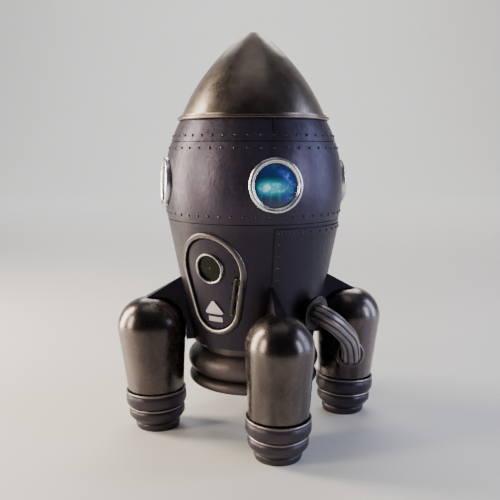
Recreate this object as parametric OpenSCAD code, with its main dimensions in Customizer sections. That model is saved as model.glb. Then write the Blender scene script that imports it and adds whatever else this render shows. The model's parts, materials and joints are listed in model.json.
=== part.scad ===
// Tin space rocket: a barrel-shaped hull with a hinged hatch, on four round landing legs.
// +Z is up, the origin is on the ground under the middle of the hull, and the hatch faces -Y.
// An azimuth is counted from -Y towards +X, so the legs stand at 45, 135, 225 and 315 degrees.

/* [Hull] */
// Thickness of the pressed sheet that the shells are made of
sheet_t = 1; // [0.9:0.05:1.1]
// Height of the hull's bottom edge above the ground
hull_base_z = 54; // [53:0.5:55]
// Outside radius of the hull at its bottom edge
hull_base_r = 38.1; // [37.6:0.1:38.6]
// Radius gained per millimetre of height on the conical lower part
hull_flare = 0.19; // [0.18:0.005:0.2]
// Height at which the hull is widest
belly_z = 147.5; // [146:0.5:149]
// Radius of the arc that rounds the hull above its cone
belly_arc_r = 84; // [82:1:86]
// Height of the seam under the porthole band
lower_seam_z = 129.1; // [128.5:0.1:129.7]
// Height of the seam above the porthole band
upper_seam_z = 174.6; // [174:0.1:175]
// Height of the hull's top edge
hull_top_z = 187; // [186.5:0.1:187.5]

/* [Nose] */
// Height of the nose cone's tip, which is the height of the whole rocket
nose_tip_z = 240; // [239:0.5:241]
// Radius of the arc that shapes the side of the nose cone
nose_arc_r = 115.8; // [115:0.1:116]
// Distance of that arc's centre beyond the axis
nose_arc_x = 63.5; // [63.3:0.1:63.7]
// Height of that arc's centre
nose_arc_z = 145; // [144.8:0.1:145.2]
// Radius of the rolled bead under the nose cone
nose_bead_r = 1.05; // [0.9:0.05:1.1]

/* [Portholes] */
// Height of the portholes' centres
porthole_z = 150.8; // [150:0.1:151.5]
// Radius of the glass that shows in a porthole
porthole_glass_r = 12.1; // [11.5:0.1:12.3]
// Outside radius of a porthole's bezel
porthole_bezel_r = 15.3; // [15:0.1:15.6]

/* [Hatch] */
// Height of the centre of the wide upper round of the hatch
hatch_top_z = 102.3; // [102:0.1:102.6]
// Height of the centre of the narrow lower round of the hatch
hatch_low_z = 79.7; // [79.4:0.1:80]
// Outside radius of the upper round, over the frame
hatch_top_r = 22; // [21.7:0.1:22.3]
// Outside radius of the lower round, over the frame
hatch_low_r = 17; // [16.7:0.1:17.3]
// Width of the raised frame
frame_w = 3.6; // [3.4:0.1:3.8]
// Radius of the glass that shows in the hatch window
window_glass_r = 7.7; // [7.4:0.1:8]
// Height of the centre of the hatch window
window_z = 103; // [102.5:0.1:103.5]
// How far the latch arrow travels up to lock
latch_travel = 3.5; // [3:0.1:3.6]

/* [Legs] */
// Distance of a foot's centre from the rocket's axis
foot_rho = 60.9; // [60.5:0.1:61.3]
// Outward lean of a leg's axis, in degrees
leg_lean = 2.4; // [2:0.1:2.8]
// Radius of a nacelle's round top
nacelle_r = 18.8; // [18.4:0.1:19]
// Radius of a nacelle at its lower rim
nacelle_rim_r = 17.2; // [17:0.1:17.4]
// Height of the shoulder centres of a nacelle
shoulder_z = 63; // [62.5:0.1:63.5]
// Distance of the inner shoulder centre from the rocket's axis
shoulder_in_rho = 61.5; // [61.2:0.1:61.8]
// Distance of the outer shoulder centre from the rocket's axis
shoulder_out_rho = 65.8; // [65.4:0.1:66.2]
// Radius of the upper collar
upper_collar_r = 18.7; // [18.4:0.1:18.9]
// Radius of the lower collar
lower_collar_r = 17.3; // [17:0.1:17.5]
// Radius of the foot's tread
foot_r = 13.6; // [13.3:0.1:13.8]

/* [Engine] */
// Outside radius of the upper engine ring
engine_upper_r = 41; // [40.5:0.1:41]
// Outside radius of the lower engine ring
engine_lower_r = 40.4; // [40:0.1:40.6]
// Inside radius of the nozzle at its mouth
nozzle_mouth_r = 27.5; // [27:0.1:28]

/* [Feed pipe] */
// Azimuth at which the pipe leaves the hull, in degrees
pipe_az = 80; // [79:0.5:81]
// Height at which the pipe leaves the hull
pipe_z = 77; // [76.5:0.1:77.5]
// Outside radius over the ribs of the pipe
pipe_r = 5.9; // [5.6:0.1:6]
// Number of ribs along the pipe
pipe_ribs = 10; // [8:1:12]

/* [Hidden] */
$fn = 64;
LEGS = [45, 135, 225, 315];

PAINT = "#4a4452";
PAINT_DARK = "#37323d";
POLISHED = "#5c5650";
SILVER = "#b9b6b4";
DARK_METAL = "#3a3735";
BLUE_GLASS = "#1f5f9a";
GREEN_GLASS = "#2b3526";
MARKING = "#b8aeb6";

// Sizes of small things that repeat
seam_gap = 0.4;
hoop_h = 11;
hoop_t = 0.8;
rivet_r = 0.85;
rivet_head_h = 0.6;
rivet_shank_r = 0.45;
rivet_shank_l = 2.3;
fit_gap = 0.1;
clear_gap = 0.3;
// Length of a cutter that passes right through a sheet and its fittings
through_l = 12;

// The hull's outline: a cone that runs into an arc without a kink
flare_angle = atan(hull_flare);
cone_top_z = belly_z - belly_arc_r * sin(flare_angle);
cone_top_r = hull_base_r + hull_flare * (cone_top_z - hull_base_z);
belly_arc_x = cone_top_r - belly_arc_r * cos(flare_angle);

function hull_r(z) = z < cone_top_z
  ? hull_base_r + hull_flare * (z - hull_base_z)
  : belly_arc_x + sqrt(pow(belly_arc_r, 2) - pow(z - belly_z, 2));
function hull_tilt(z) = z < cone_top_z ? -flare_angle : asin((z - belly_z) / belly_arc_r);

// Places children at an azimuth, with +X pointing away from the rocket's axis
module at_azimuth(az) {
  rotate([0, 0, az - 90]) children();
}

// Places children on the hull's skin: +X outwards, +Y towards a larger azimuth, +Z up the skin
module on_hull(az, z) {
  at_azimuth(az) translate([hull_r(z), 0, z]) rotate([0, -hull_tilt(z), 0]) children();
}

// Turns a shape that was made along +Z so that it points along +X
module outward() {
  rotate([0, 90, 0]) children();
}

module ring_2d(r_in, r_out, z_low, z_high) {
  translate([r_in, z_low]) square([r_out - r_in, z_high - z_low]);
}

// Half section of everything inside the hull's skin, moved inwards by inset
module hull_section(inset, z_low, z_high) {
  kink_r = cone_top_r - inset * cos(flare_angle);
  kink_z = cone_top_z + inset * sin(flare_angle);
  intersection() {
    union() {
      polygon([
        [0, hull_base_z], [hull_base_r - inset / cos(flare_angle), hull_base_z],
        [kink_r, kink_z], [0, kink_z]
      ]);
      intersection() {
        translate([belly_arc_x, belly_z]) circle(belly_arc_r - inset);
        ring_2d(0, 2 * hull_base_r, kink_z, hull_top_z);
      }
    }
    ring_2d(0, 2 * hull_base_r, z_low, z_high);
  }
}

// A band of sheet between two insets from the hull's skin
module hull_skin(inset_out, inset_in, z_low, z_high) {
  rotate_extrude() difference() {
    hull_section(inset_out, z_low, z_high);
    hull_section(inset_in, z_low, z_high);
  }
}

// ---------- hull shells ----------

module lower_hull() {
  color(PAINT) difference() {
    hull_skin(0, sheet_t, hull_base_z, lower_seam_z - seam_gap / 2);
    hatch_prism(frame_w - frame_reach);
  }
}

module porthole_band() {
  color(PAINT) difference() {
    hull_skin(0, sheet_t, lower_seam_z + seam_gap / 2, upper_seam_z - seam_gap / 2);
    for (az = LEGS) on_hull(az, porthole_z) outward()
      cylinder(r = porthole_hole_r, h = through_l, center = true);
  }
}

// The top band's two ends meet in an upright seam above the first leg
module top_band() {
  color(PAINT) difference() {
    hull_skin(0, sheet_t, upper_seam_z + seam_gap / 2, hull_top_z);
    at_azimuth(45) translate([hull_top_inside_r, -seam_gap / 2, upper_seam_z])
      cube([through_l, seam_gap, hull_top_z - upper_seam_z + 1]);
  }
}
hull_top_inside_r = hull_r(hull_top_z) - sheet_t / 2;

module seam_hoop(seam_z) {
  color(DARK_METAL) hull_skin(sheet_t, sheet_t + hoop_t, seam_z - hoop_h / 2, seam_z + hoop_h / 2);
}

module rivet() {
  dome_r = (pow(rivet_r, 2) + pow(rivet_head_h, 2)) / (2 * rivet_head_h);
  outward() rotate_extrude() union() {
    ring_2d(0, rivet_shank_r, -rivet_shank_l, 0.1);
    intersection() {
      translate([0, rivet_head_h - dome_r]) circle(dome_r);
      ring_2d(0, rivet_r, 0, rivet_head_h);
    }
  }
}

module rivet_row(z, count, az_from = 0, az_step = 0, out = 0) {
  step = az_step > 0 ? az_step : 360 / count;
  color(PAINT_DARK) for (i = [0:count - 1])
    on_hull(az_from + i * step, z) translate([out, 0, 0]) rivet();
}

lower_rivets_z = lower_seam_z + 4.3;
lower_rivets_az = 3.75;
lower_rivet_count = 48;
upper_rivets_z = [upper_seam_z - 3.6, upper_seam_z + 3.4];
upper_rivets_az = 4;
upper_rivet_count = 44;

module lower_seam_rivets() {
  rivet_row(lower_rivets_z, lower_rivet_count, lower_rivets_az);
}

module upper_seam_rivets() {
  for (z = upper_rivets_z) rivet_row(z, upper_rivet_count, upper_rivets_az);
}

// A doubler plate riveted over the lower shell between the two right-hand legs
plate_az = [45, 135];
plate_z = [95.2, lower_seam_z - 2.6];
plate_t = 0.8;

module side_plate() {
  color(PAINT) rotate([0, 0, plate_az[0] - 90])
    rotate_extrude(angle = plate_az[1] - plate_az[0]) difference() {
      hull_section(-plate_t, plate_z[0], plate_z[1]);
      hull_section(0, plate_z[0], plate_z[1]);
    }
}

// The plate is riveted along its top edge and down both its sides
plate_rivets_z = [97.4, 104.4, 111.2, 118];
module side_plate_rivets() {
  edge_az = 3.5;
  edge_z = 2;
  per_row = 12;
  row_step = (plate_az[1] - plate_az[0] - 2 * edge_az) / (per_row - 1);
  rivet_row(plate_z[1] - edge_z, per_row, plate_az[0] + edge_az, row_step, plate_t);
  for (az = [plate_az[0] + edge_az, plate_az[1] - edge_az], z = plate_rivets_z)
    rivet_row(z, 1, az, 1, plate_t);
}

// ---------- nose ----------

nose_base_z = hull_top_z + 2.4;
spigot_r = 42.4;

// Half section of the nose cone: an arc for the side and a smaller one for the tip
module nose_section(inset) {
  tip_r = nose_tip_radius();
  tip_z = nose_tip_z - tip_r;
  // The two arcs touch on the line through their centres
  touch_z = nose_arc_z + (tip_z - nose_arc_z) * nose_arc_r / (nose_arc_r - tip_r);
  union() {
    intersection() {
      translate([-nose_arc_x, nose_arc_z]) circle(nose_arc_r - inset);
      ring_2d(0, hull_base_r * 2, nose_base_z, touch_z);
    }
    intersection() {
      translate([0, tip_z]) circle(tip_r - inset);
      ring_2d(0, hull_base_r, touch_z - 0.01, nose_tip_z + 1);
    }
  }
}
// Radius of the tip's arc, from the two arcs' touching condition
function nose_tip_radius() =
  let (rise = nose_tip_z - nose_arc_z)
  (pow(nose_arc_x, 2) + pow(rise, 2) - pow(nose_arc_r, 2)) / (2 * (rise - nose_arc_r));

// The cone's spigot goes through the nose ring and into the hull's open top
module nose_cone() {
  lip_r = 44.2;
  lip_t = 0.8;
  spigot_l = 5;
  color(POLISHED) rotate_extrude() union() {
    difference() {
      nose_section(0);
      nose_section(sheet_t);
    }
    ring_2d(spigot_r - sheet_t, lip_r, nose_base_z, nose_base_z + lip_t);
    ring_2d(spigot_r - sheet_t, spigot_r, hull_top_z - spigot_l, nose_base_z + lip_t / 2);
  }
}

module nose_ring() {
  bead_rho = 45;
  color(SILVER) rotate_extrude() union() {
    translate([bead_rho, (hull_top_z + nose_base_z) / 2]) circle(nose_bead_r);
    ring_2d(spigot_r + fit_gap, bead_rho, hull_top_z, nose_base_z);
  }
}

// ---------- bottom and engine ----------

base_flange_h = 6;
bolt_r = 2;
neck_r = 33;
neck_t = 1.5;
upper_ring_z = [33.4, 49];
lower_ring_z = [26.8, 33.4];
upper_ring_in_r = 29;
lower_ring_in_r = 31;
nozzle_lip_t = 1.2;
nozzle_top_t = 2;

module base_plate() {
  color(DARK_METAL) rotate_extrude() difference() {
    hull_section(sheet_t, hull_base_z, hull_base_z + base_flange_h);
    hull_section(2 * sheet_t, hull_base_z + sheet_t, hull_base_z + base_flange_h);
    ring_2d(0, bolt_r + fit_gap, 0, hull_base_z + base_flange_h);
  }
}

// A short drum under the base plate, closed below by a disc that the rings press against
module engine_neck() {
  color(DARK_METAL) rotate_extrude() union() {
    ring_2d(neck_r - neck_t, neck_r, upper_ring_z[1], hull_base_z);
    ring_2d(bolt_r + fit_gap, neck_r - neck_t / 2, upper_ring_z[1], upper_ring_z[1] + sheet_t);
  }
}

// A hollow ring with a round outer wall, open towards the axis
module engine_ring(z_low, z_high, r_out, r_in) {
  h = z_high - z_low;
  round_r = h / 2;
  rotate_extrude() difference() {
    union() {
      translate([r_out - round_r, (z_low + z_high) / 2]) circle(round_r);
      ring_2d(r_in, r_out - round_r, z_low, z_high);
    }
    translate([r_out - round_r, (z_low + z_high) / 2]) circle(round_r - sheet_t);
    ring_2d(0, r_out - round_r, z_low + sheet_t, z_high - sheet_t);
  }
}

module engine_upper_ring() {
  color(PAINT_DARK) engine_ring(upper_ring_z[0], upper_ring_z[1], engine_upper_r, upper_ring_in_r);
}

module engine_lower_ring() {
  color(PAINT_DARK) engine_ring(lower_ring_z[0], lower_ring_z[1], engine_lower_r, lower_ring_in_r);
}

// The nozzle hangs from the bolt, and its lip carries both rings
module engine_nozzle() {
  throat_r = 12;
  throat_z = 44;
  top_z = upper_ring_z[1];
  lip_z = lower_ring_z[0];
  lip_r = 34;
  color(DARK_METAL) rotate_extrude() polygon([
    [nozzle_mouth_r, lip_z - nozzle_lip_t], [throat_r, throat_z], [throat_r, top_z - nozzle_top_t],
    [bolt_r + fit_gap, top_z - nozzle_top_t], [bolt_r + fit_gap, top_z],
    [throat_r + sheet_t, top_z], [throat_r + sheet_t, throat_z],
    [nozzle_mouth_r + sheet_t, lip_z], [lip_r, lip_z], [lip_r, lip_z - nozzle_lip_t]
  ]);
}

// One bolt up through the engine and the base plate, and its nut on the cabin floor
module engine_fasteners() {
  head_z = upper_ring_z[1] - nozzle_top_t;
  floor_z = hull_base_z + sheet_t;
  head_h = 2.4;
  nut_h = 3;
  thread_gap = 0.05;
  hex_r = 4;
  color(SILVER) union() {
    translate([0, 0, head_z - head_h]) cylinder(r = hex_r, h = head_h, $fn = 6);
    translate([0, 0, head_z - 0.1]) cylinder(r = bolt_r, h = floor_z + nut_h + 1.1 - head_z);
  }
  color(SILVER) translate([0, 0, floor_z]) difference() {
    cylinder(r = hex_r, h = nut_h, $fn = 6);
    translate([0, 0, -1]) cylinder(r = bolt_r + thread_gap, h = nut_h + 2);
  }
}

// ---------- legs ----------

// Places children at a foot's centre on the ground, with +Z along the leaning leg
module on_leg(az) {
  at_azimuth(az) translate([foot_rho, 0, 0]) rotate([0, leg_lean, 0]) children();
}

foot_top_s = 4.6;
lower_collar_top_s = 14.8;
upper_collar_top_s = 24.6;
nacelle_rim_s = 24;
leg_screw_r = 1.5;
leg_screw_head_r = 3;
leg_screw_seat_s = 2;

// The outer or inner surface of a nacelle, as a closed blend of two balls and the rim
module nacelle_blend(inset, facets) {
  rim_t = 0.2;
  hull() {
    for (rho = [shoulder_in_rho, shoulder_out_rho])
      translate([rho, 0, shoulder_z]) sphere(r = nacelle_r - inset, $fn = facets);
    translate([foot_rho, 0, 0]) rotate([0, leg_lean, 0]) translate([0, 0, nacelle_rim_s - inset])
      cylinder(r = nacelle_rim_r - inset, h = rim_t, $fn = facets);
  }
}

module nacelle(az) {
  color(POLISHED) at_azimuth(az) difference() {
    nacelle_blend(0, 32);
    nacelle_blend(sheet_t, 16);
  }
}

// The upper collar's groove takes the nacelle's rim, and its spigot stands inside the rim
module upper_collar(az) {
  spigot_r = nacelle_rim_r - sheet_t - 0.6;
  low = lower_collar_top_s;
  color(PAINT) on_leg(az) difference() {
    rotate_extrude() union() {
      polygon([
        [0, low + 3], [spigot_r, low + 3], [spigot_r, low], [upper_collar_r - 2.2, low],
        [upper_collar_r - 0.5, low + 0.9], [upper_collar_r, low + 1.8],
        [upper_collar_r, upper_collar_top_s - 2.4], [upper_collar_r - 0.5, upper_collar_top_s - 1.4],
        [upper_collar_r - 1, upper_collar_top_s], [nacelle_rim_r + fit_gap, upper_collar_top_s],
        [nacelle_rim_r + fit_gap, nacelle_rim_s - sheet_t - 0.2],
        [spigot_r, nacelle_rim_s - sheet_t - 0.2],
        [spigot_r, nacelle_rim_s + 3], [spigot_r - sheet_t, nacelle_rim_s + 3],
        [spigot_r - sheet_t, low + 5], [0, low + 5]
      ]);
      ring_2d(0, 4, low + 2, low + 9);
    }
    cylinder(r = leg_screw_r, h = 60, center = true);
  }
}

module lower_collar(az) {
  low = foot_top_s;
  top = lower_collar_top_s;
  color(PAINT) on_leg(az) difference() {
    rotate_extrude() polygon([
      [0, low], [foot_r + 0.3, low], [lower_collar_r, low + 3.6], [lower_collar_r, top - 1.6],
      [lower_collar_r - 0.4, top - 0.7], [lower_collar_r - 0.9, top - 0.1],
      [upper_collar_r - 3, top - 0.1], [upper_collar_r - 3, top - 1],
      [upper_collar_r - 4, top - 1], [upper_collar_r - 4, top],
      [8, top], [8, top + 3 - fit_gap], [4.2, top + 3 - fit_gap], [4.2, top + 2 - fit_gap],
      [0, top + 2 - fit_gap]
    ]);
    cylinder(r = leg_screw_r + fit_gap, h = 60, center = true);
    // The hollow is open below, where the foot closes it
    rotate_extrude() ring_2d(5, foot_r - 2, low - 1, top - 2);
  }
}

module foot(az) {
  color(PAINT) difference() {
    on_leg(az) difference() {
      rotate_extrude() polygon([
        [0, -2], [foot_r - 0.9, -2], [foot_r - 0.5, 0.2], [foot_r, 1.2], [foot_r + 0.2, foot_top_s],
        [0, foot_top_s]
      ]);
      cylinder(r = leg_screw_r + fit_gap, h = 60, center = true);
      translate([0, 0, -5]) cylinder(r = leg_screw_head_r + 0.4, h = leg_screw_seat_s + 5);
    }
    translate([-100, -100, -20]) cube([200, 200, 20]);
  }
}

module leg_screws() {
  head_h = 1.5;
  length = 20;
  color(SILVER) for (az = LEGS) on_leg(az) union() {
    translate([0, 0, leg_screw_seat_s - head_h]) cylinder(r = leg_screw_head_r, h = head_h);
    translate([0, 0, leg_screw_seat_s - 0.1]) cylinder(r = leg_screw_r, h = length);
  }
}

// ---------- pylons ----------

// A wedge of folded sheet: its top face is a long triangle that narrows to a point on the hull
module pylon_wedge(inset) {
  ridge_in = [42, 0.1, 95.2];
  ridge_out = [68, 3.5, 80.9];
  foot_in = [36, 5, 54.8];
  foot_out = [60, 4.6, 54.8];
  // The top face slopes, so it moves down by more than the sheet's thickness
  drop = inset * 1.15;
  corners = [
    [ridge_in[0], ridge_in[1], ridge_in[2] - drop], [ridge_out[0], ridge_out[1] - inset, ridge_out[2] - drop],
    [foot_out[0], foot_out[1] - inset, foot_out[2] - inset], [foot_in[0], foot_in[1] - inset, foot_in[2] - inset]
  ];
  points = concat(corners, [for (p = corners) [p[0], -p[1], p[2]]]);
  polyhedron(points, [
    [0, 2, 1], [0, 3, 2], [4, 5, 6], [4, 6, 7],
    [0, 1, 5], [0, 5, 4], [1, 2, 6], [1, 6, 5], [2, 3, 7], [2, 7, 6], [3, 0, 4], [3, 4, 7]
  ]);
}

// The space that a nacelle takes near its pylon, grown by out
module nacelle_space(out) {
  translate([shoulder_in_rho, 0, shoulder_z]) {
    sphere(r = nacelle_r + out);
    outward() cylinder(r = nacelle_r + out, h = 20);
    translate([0, 0, -30]) cylinder(r = nacelle_r + out, h = 30);
  }
}

// The space inside the hull's cone, grown by out
module cone_space(out) {
  low_z = hull_base_z - 10;
  high_z = cone_top_z - 20;
  grow = out / cos(flare_angle);
  translate([0, 0, low_z])
    cylinder(r1 = hull_r(low_z) + grow, r2 = hull_r(high_z) + grow, h = high_z - low_z);
}

module pylon(az) {
  touch = 0.02;
  color(PAINT_DARK) at_azimuth(az) difference() {
    pylon_wedge(0);
    cone_space(touch);
    nacelle_space(touch);
    difference() {
      pylon_wedge(sheet_t);
      cone_space(sheet_t);
      nacelle_space(sheet_t);
    }
  }
}

// ---------- portholes and the hatch window ----------

porthole_hole_r = porthole_bezel_r + fit_gap;

// A round window's pieces lie along +Z, with 0 at the skin's surface in the middle of the window
module bezel_lip(glass_r, out_r, crest, skirt) {
  width = out_r - glass_r;
  rotate_extrude() polygon([
    [glass_r, crest - 0.5], [glass_r + 0.3 * width, crest],
    [glass_r + 0.6 * width, crest], [out_r - 0.12 * width, crest - 0.5], [out_r, crest - 1],
    [out_r, -skirt], [glass_r, -skirt]
  ]);
}

module bezel_neck(glass_r, hole_r, depth) {
  rotate_extrude() union() {
    ring_2d(glass_r + 0.6, hole_r - fit_gap, -depth, 0);
    ring_2d(glass_r, hole_r - fit_gap, -0.6, 0.2);
  }
}

// Depth of a glass's rim behind the skin, and how far it reaches under the bezel's inner edge
glass_seat = 0.7;
glass_lap = 0.5;

// A glass with a domed front, held behind the bezel's inner edge
module window_glass(glass_r, dome_h, thick) {
  dome_r = (pow(glass_r, 2) + pow(dome_h, 2)) / (2 * dome_h);
  rotate_extrude() union() {
    ring_2d(0, glass_r + glass_lap, -glass_seat - thick, -glass_seat);
    intersection() {
      translate([0, -glass_seat + dome_h - dome_r]) circle(dome_r, $fn = 360);
      ring_2d(0, glass_r - 0.1, -glass_seat - 0.05, 2);
    }
  }
}

module window_retainer(glass_r, thick, depth) {
  rotate_extrude() ring_2d(glass_r - 0.8, glass_r + glass_lap + 0.05, -depth, -glass_seat - 0.05 - thick);
}

porthole_depth = 3.6;
glass_t = 1.6;

// The bezel fills its hole in the band, from its crest to behind the sheet
module porthole_bezel(az) {
  color(SILVER) on_hull(az, porthole_z) outward() difference() {
    bezel_lip(porthole_glass_r, porthole_bezel_r, 1.3, porthole_depth);
    translate([0, 0, -porthole_depth - 1]) cylinder(r = porthole_glass_r + 0.6, h = porthole_depth + 0.4);
  }
}

module porthole_glass(az) {
  color(BLUE_GLASS) on_hull(az, porthole_z) outward() window_glass(porthole_glass_r, 0.9, glass_t);
}

module porthole_retainers() {
  color(DARK_METAL) for (az = LEGS) on_hull(az, porthole_z) outward()
    window_retainer(porthole_glass_r, glass_t, porthole_depth);
}

// ---------- hatch ----------

panel_inset = 0.6;
window_hole_r = window_glass_r + 1.3;
window_bezel_r = 9.5;
window_depth = 2.8;
window_glass_t = 1;

// Outline of the hatch, smaller by inset: two rounds joined by their common tangents
hatch_lean = asin((hatch_top_r - hatch_low_r) / (hatch_top_z - hatch_low_z));
function arc_points(z, r, from, to, steps) =
  [for (i = [0:steps]) let (a = from + (to - from) * i / steps) [r * cos(a), z + r * sin(a)]];
module hatch_outline(inset) {
  polygon(concat(
    arc_points(hatch_top_z, hatch_top_r - inset, -hatch_lean, 180 + hatch_lean, 30),
    arc_points(hatch_low_z, hatch_low_r - inset, 180 + hatch_lean, 360 - hatch_lean, 20)
  ));
}

// The hatch's outline carried straight through the front of the hull
module hatch_prism(inset) {
  translate([0, -20, 0]) rotate([90, 0, 0]) linear_extrude(height = 45) hatch_outline(inset);
}

// A ring that follows the hatch's outline and lies between two insets from the hull's skin
module hatch_ring(outline_out, outline_in, inset_out, inset_in) {
  low_z = hatch_low_z - hatch_low_r - 1;
  high_z = hatch_top_z + hatch_top_r + 1;
  intersection() {
    hull_skin(inset_out, inset_in, low_z, high_z);
    difference() {
      hatch_prism(outline_out);
      hatch_prism(outline_in);
    }
  }
}

latch_low_z = 76.8;
latch_arm_h = 2.6;
stop_insets = [1.9, 2.7];
// How far the frame reaches inwards past the edge of the hull's opening
frame_reach = 1.1;
// The frame's rounded crest in steps: inset from the outer edge, from the inner edge, and height
frame_steps = [[0, 0, 0.8], [0.5, 0.4, 1.25], [1.1, 1, 1.5]];

module hatch_frame() {
  color(PAINT) union() {
    for (step = frame_steps) hatch_ring(step[0], frame_w - step[1], -step[2], 0);
    hatch_ring(frame_w - 1, frame_w, -0.8, stop_insets[1]);
    hatch_stop();
  }
}

// The ledge behind the panel's edge, away from the hinge, with a notch that lets the latch arm out
module hatch_stop() {
  stop_w = 2.8;
  hinge_side_x = 6;
  notch_x = -13.2;
  notch_w = 6;
  difference() {
    hatch_ring(frame_w - 0.5, frame_w + stop_w, stop_insets[0], stop_insets[1]);
    translate([hinge_side_x, -60, 0]) cube([40, 60, 200]);
    translate([notch_x, -60, latch_low_z - 0.5]) cube([notch_w, 60, latch_arm_h + 1]);
  }
}

// The hinge line runs along the straight right-hand side of the hatch, just proud of the skin
hinge_inset = frame_w + 1.5;
hinge_out = 0.6;
knuckle_r = 1.3;
hinge_pin_r = 0.6;
knuckle_spans = [[0, 3.2], [3.5, 8.9], [9.2, 12.4], [12.7, 18.1], [18.4, 21.6]];

function hinge_point(circle_z, circle_r) =
  let (x = circle_r * cos(hatch_lean), z = circle_z - circle_r * sin(hatch_lean))
  [x, -sqrt(pow(hull_r(z) + hinge_out, 2) - x * x), z];
function unit(v) = v / norm(v);

hinge_low = hinge_point(hatch_low_z, hatch_low_r - hinge_inset);
hinge_high = hinge_point(hatch_top_z, hatch_top_r - hinge_inset);
hinge_z = unit(hinge_high - hinge_low);
hinge_y = unit(cross(hinge_z, [hinge_low[0], hinge_low[1], -hull_flare * norm([hinge_low[0], hinge_low[1]])]));
hinge_x = cross(hinge_y, hinge_z);

// Places children on the hinge line: +X outwards, +Y away from the panel, +Z up the hinge
module on_hinge() {
  multmatrix([
    [hinge_x[0], hinge_y[0], hinge_z[0], hinge_low[0]],
    [hinge_x[1], hinge_y[1], hinge_z[1], hinge_low[1]],
    [hinge_x[2], hinge_y[2], hinge_z[2], hinge_low[2]],
    [0, 0, 0, 1]
  ]) children();
}

module hinge_span(span, r, grow = 0) {
  translate([0, 0, span[0] - grow]) cylinder(r = r, h = span[1] - span[0] + 2 * grow);
}

// Three fixed knuckles, each with a lug that is riveted into the frame
module hatch_hinge_bracket() {
  lug_y = 2.3;
  color(SILVER) on_hinge() for (i = [0, 2, 4]) difference() {
    union() {
      hinge_span(knuckle_spans[i], knuckle_r);
      translate([-0.7, 0, knuckle_spans[i][0]])
        cube([1.4, lug_y, knuckle_spans[i][1] - knuckle_spans[i][0]]);
    }
    hinge_span(knuckle_spans[i], hinge_pin_r, 1);
  }
}

module hatch_hinge_pin() {
  head_r = 0.85;
  head_h = 0.5;
  length = knuckle_spans[4][1];
  color(SILVER) on_hinge() union() {
    cylinder(r = hinge_pin_r, h = length);
    translate([0, 0, -head_h]) cylinder(r = head_r, h = head_h);
    translate([0, 0, length]) cylinder(r = head_r, h = head_h);
  }
}

module hatch_knuckles() {
  web_y = 3;
  on_hinge() for (i = [1, 3]) {
    hinge_span(knuckle_spans[i], knuckle_r);
    translate([-1.7, -web_y, knuckle_spans[i][0]])
      cube([1.5, web_y, knuckle_spans[i][1] - knuckle_spans[i][0]]);
  }
}

stem_w = 1.5;
stem_h = 2.2;
slot_clear = 0.15;

// The panel follows the hull's cone, and its right-hand edge is rolled into two knuckles
module hatch_panel() {
  edge_gap = 0.7;
  color(PAINT) difference() {
    union() {
      intersection() {
        hull_skin(panel_inset, panel_inset + sheet_t, 60, 128);
        hatch_prism(frame_w + edge_gap);
      }
      hatch_knuckles();
    }
    on_hinge() hinge_span([knuckle_spans[0][0], knuckle_spans[4][1]], hinge_pin_r + 0.06, 2);
    for (i = [0, 2, 4]) on_hinge() hinge_span(knuckle_spans[i], knuckle_r + clear_gap, clear_gap);
    on_hull(0, window_z) outward() cylinder(r = window_hole_r, h = through_l, center = true);
    on_hull(0, latch_low_z) translate([-6, -stem_w / 2 - slot_clear, -slot_clear])
      cube([8, stem_w + 2 * slot_clear, stem_h + latch_travel + 2 * slot_clear]);
  }
}

module hatch_window_bezel() {
  color(SILVER) difference() {
    on_hull(0, window_z) outward() translate([0, 0, -panel_inset])
      bezel_lip(window_glass_r, window_bezel_r, 1.4, 2);
    hull_skin(panel_inset - 0.01, 6, window_z - 12, window_z + 12);
  }
  color(SILVER) on_hull(0, window_z) outward() translate([0, 0, -panel_inset])
    bezel_neck(window_glass_r, window_hole_r, window_depth);
}

module hatch_window_glass() {
  color(GREEN_GLASS) on_hull(0, window_z) outward() translate([0, 0, -panel_inset])
    window_glass(window_glass_r, 0.4, window_glass_t);
}

module hatch_window_retainer() {
  color(DARK_METAL) on_hull(0, window_z) outward() translate([0, 0, -panel_inset])
    window_retainer(window_glass_r, window_glass_t, window_depth);
}

// ---------- latch ----------

arrow_w = 12.3;
arrow_h = 7.7;
arrow_t = 0.9;
arrow_low_z = 76;
bolt_insets = [3, 3.9];
mark_w = 9.4;
mark_h = 2.8;
mark_t = 0.45;
mark_low_z = 71.2;

// A slab that stands across the front of the hull, from an outline drawn as seen from the front
module front_slab() {
  translate([0, -30, 0]) rotate([90, 0, 0]) linear_extrude(height = 25) children();
}

// The arrow is the thumb piece: it slides up on the panel, and its stem goes through the slot
module latch_arrow() {
  corner = 0.9;
  half_w = arrow_w / 2;
  slide_gap = 0.15;
  color(MARKING) union() {
    intersection() {
      hull_skin(panel_inset - slide_gap - arrow_t, panel_inset - slide_gap, 70, 90);
      front_slab() translate([0, arrow_low_z]) polygon([
        [-half_w + corner, 0], [half_w - corner, 0], [half_w, corner],
        [corner, arrow_h - 0.2], [0, arrow_h], [-corner, arrow_h - 0.2], [-half_w, corner]
      ]);
    }
    on_hull(0, latch_low_z) translate([-panel_inset - sheet_t - 0.2, -stem_w / 2, 0])
      cube([sheet_t + 0.5, stem_w, stem_h]);
  }
}

// The arm behind the panel reaches left, and slides up behind the frame's ledge to lock
module latch_bolt() {
  reach_x = 12.3;
  boss_half = 2.5;
  boss_x = panel_inset + sheet_t + 0.2;
  color(SILVER) union() {
    intersection() {
      hull_skin(bolt_insets[0], bolt_insets[1], 70, 90);
      front_slab() translate([-reach_x, latch_low_z]) square([reach_x + boss_half, latch_arm_h]);
    }
    on_hull(0, latch_low_z) translate([-bolt_insets[0] - 0.4, -boss_half, -0.1])
      cube([bolt_insets[0] + 0.4 - boss_x, 2 * boss_half, latch_arm_h]);
  }
}

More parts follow.
